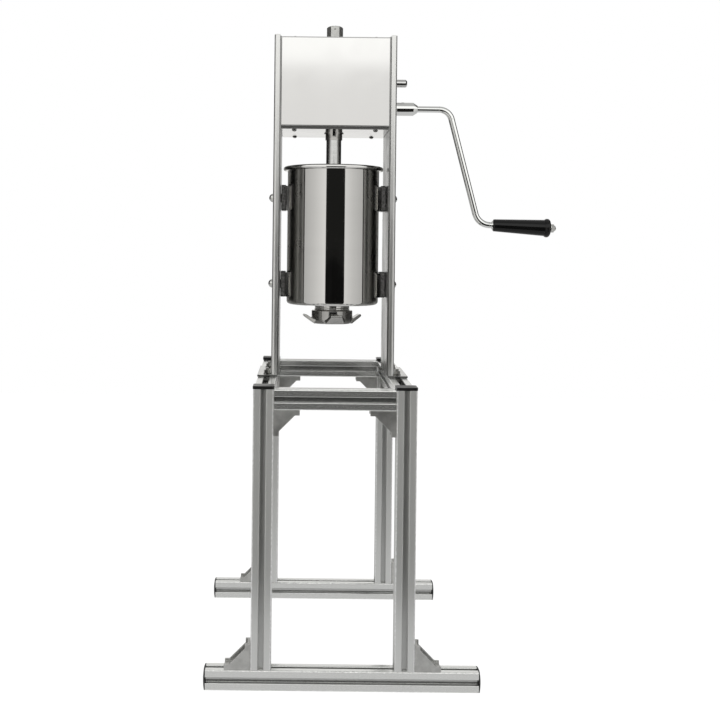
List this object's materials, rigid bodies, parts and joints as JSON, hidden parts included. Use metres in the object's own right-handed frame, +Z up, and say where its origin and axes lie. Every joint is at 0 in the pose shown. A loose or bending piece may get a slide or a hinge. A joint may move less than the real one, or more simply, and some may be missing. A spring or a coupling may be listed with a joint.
{
  "type": "manual churro maker",
  "caption": "Hand-cranked churro maker: a geared piston presses dough from a hanging steel cylinder through a star die, on a slotted aluminium stand.",
  "frame": {"origin": "centre of the bounding box, on the floor under the stand", "axes": "+Z up, +X to the crank side, -Y to the front where the operator stands"},
  "size_m": [0.5829, 0.4614, 1.015],
  "materials": {
    "profile": "satin anodised",
    "cast_aluminium": "matt cast",
    "black_cap": "satin",
    "fastener_steel": "zinc plated",
    "frame_sheet": "satin stainless",
    "cover_sheet": "polished stainless",
    "rod_bush": "turned",
    "shaft_bush": "turned",
    "hanger_plastic": "satin",
    "cylinder_steel": "polished stainless",
    "gasket": "matt",
    "nut_casting": "cast and polished",
    "rod_steel": "ground",
    "piston_plastic": "moulded",
    "seal_rubber": "matt",
    "gear_steel": "cut and oiled",
    "shaft_steel": "ground",
    "crank_chrome": "polished",
    "grip_plastic": "moulded"
  },
  "bodies": {
    "stand": {"front_foot_rail": "profile", "rear_foot_rail": "profile", "front_left_leg": "profile", "front_right_leg": "profile", "rear_left_leg": "profile", "rear_right_leg": "profile", "front_top_rail": "profile", "rear_top_rail": "profile", "left_top_rail": "profile", "right_top_rail": "profile", "foot_gussets": "cast_aluminium", "top_gussets": "cast_aluminium", "foot_rail_caps": "black_cap", "leg_caps": "black_cap", "gusset_screws": "fastener_steel", "slot_nuts": "fastener_steel", "base_studs": "fastener_steel", "base_nuts": "fastener_steel", "cover_screws": "fastener_steel", "hanger_bolts": "fastener_steel", "base_plates": "frame_sheet", "left_side_frame": "frame_sheet", "right_side_frame": "frame_sheet", "left_inner_panel": "frame_sheet", "right_inner_panel": "frame_sheet", "hanger_spacers": "frame_sheet", "housing_cleats": "frame_sheet", "front_cover": "cover_sheet", "rear_cover": "cover_sheet", "top_plate": "cover_sheet", "bottom_tray": "cover_sheet", "upper_rod_bush": "rod_bush", "lower_rod_bush": "rod_bush", "crank_shaft_bushes": "shaft_bush", "drive_shaft_bushes": "shaft_bush", "hanger_blocks": "hanger_plastic", "hanger_washers": "hanger_plastic"},
    "tank": {"cylinder_barrel": "cylinder_steel", "cylinder_saddles": "cylinder_steel", "outlet_neck": "cylinder_steel"},
    "die_set": {"die_plate": "cylinder_steel", "neck_gasket": "gasket"},
    "wing_nut": {"wing_nut": "nut_casting"},
    "rod": {"piston_rod": "rod_steel", "stop_nut": "rod_steel", "piston_disc": "piston_plastic", "piston_seal": "seal_rubber", "piston_nut": "rod_steel"},
    "crank": {"crank_shaft": "shaft_steel", "crank_pinion": "gear_steel", "crank_keys_clips": "gear_steel", "crank_hub": "crank_chrome", "crank_grub_screw": "gear_steel", "crank_arm": "crank_chrome", "crank_end_nut": "crank_chrome"},
    "drive": {"drive_shaft": "shaft_steel", "large_gear": "gear_steel", "rack_pinion": "gear_steel", "drive_keys_clips": "gear_steel"},
    "grip": {"crank_grip": "grip_plastic"}
  },
  "joints": [
    {"name": "crank_turn", "type": "hinge", "parent": "stand", "child": "crank", "pos_m": [0, 0.02, 0.882], "axis": [1, 0, 0], "range_deg": [0, 2873.9]},
    {"name": "drive_turn", "type": "hinge", "parent": "stand", "child": "drive", "pos_m": [0, 0.02, 0.925], "axis": [1, 0, 0], "range_deg": [-1113, 0]},
    {"name": "rod_slide", "type": "slide", "parent": "stand", "child": "rod", "axis": [0, 0, 1], "range_m": [0, 0.233]},
    {"name": "grip_spin", "type": "hinge", "parent": "crank", "child": "grip", "pos_m": [0.17872, 0.02, 0.68873], "axis": [0.9991, 0, -0.0419], "continuous": true},
    {"name": "cylinder_lift", "type": "slide", "parent": "stand", "child": "tank", "axis": [0, 0, 1], "range_m": [0, 0.006]},
    {"name": "die_drop", "type": "slide", "parent": "tank", "child": "die_set", "axis": [0, 0, -1], "range_m": [0, 0.009]},
    {"name": "wing_nut_turn", "type": "hinge", "parent": "die_set", "child": "wing_nut", "pos_m": [-0.08413, 0, 0.5333], "axis": [0, 0, -1], "range_deg": [0, 1079.9]}
  ],
  "couplings": [
    {"joint": "drive_turn", "follows": "crank_turn", "ratio": -0.3871},
    {"joint": "rod_slide", "follows": "crank_turn", "m_per_rad": 0.0046452},
    {"joint": "die_drop", "follows": "wing_nut_turn", "m_per_rad": 0.00047746}
  ]
}
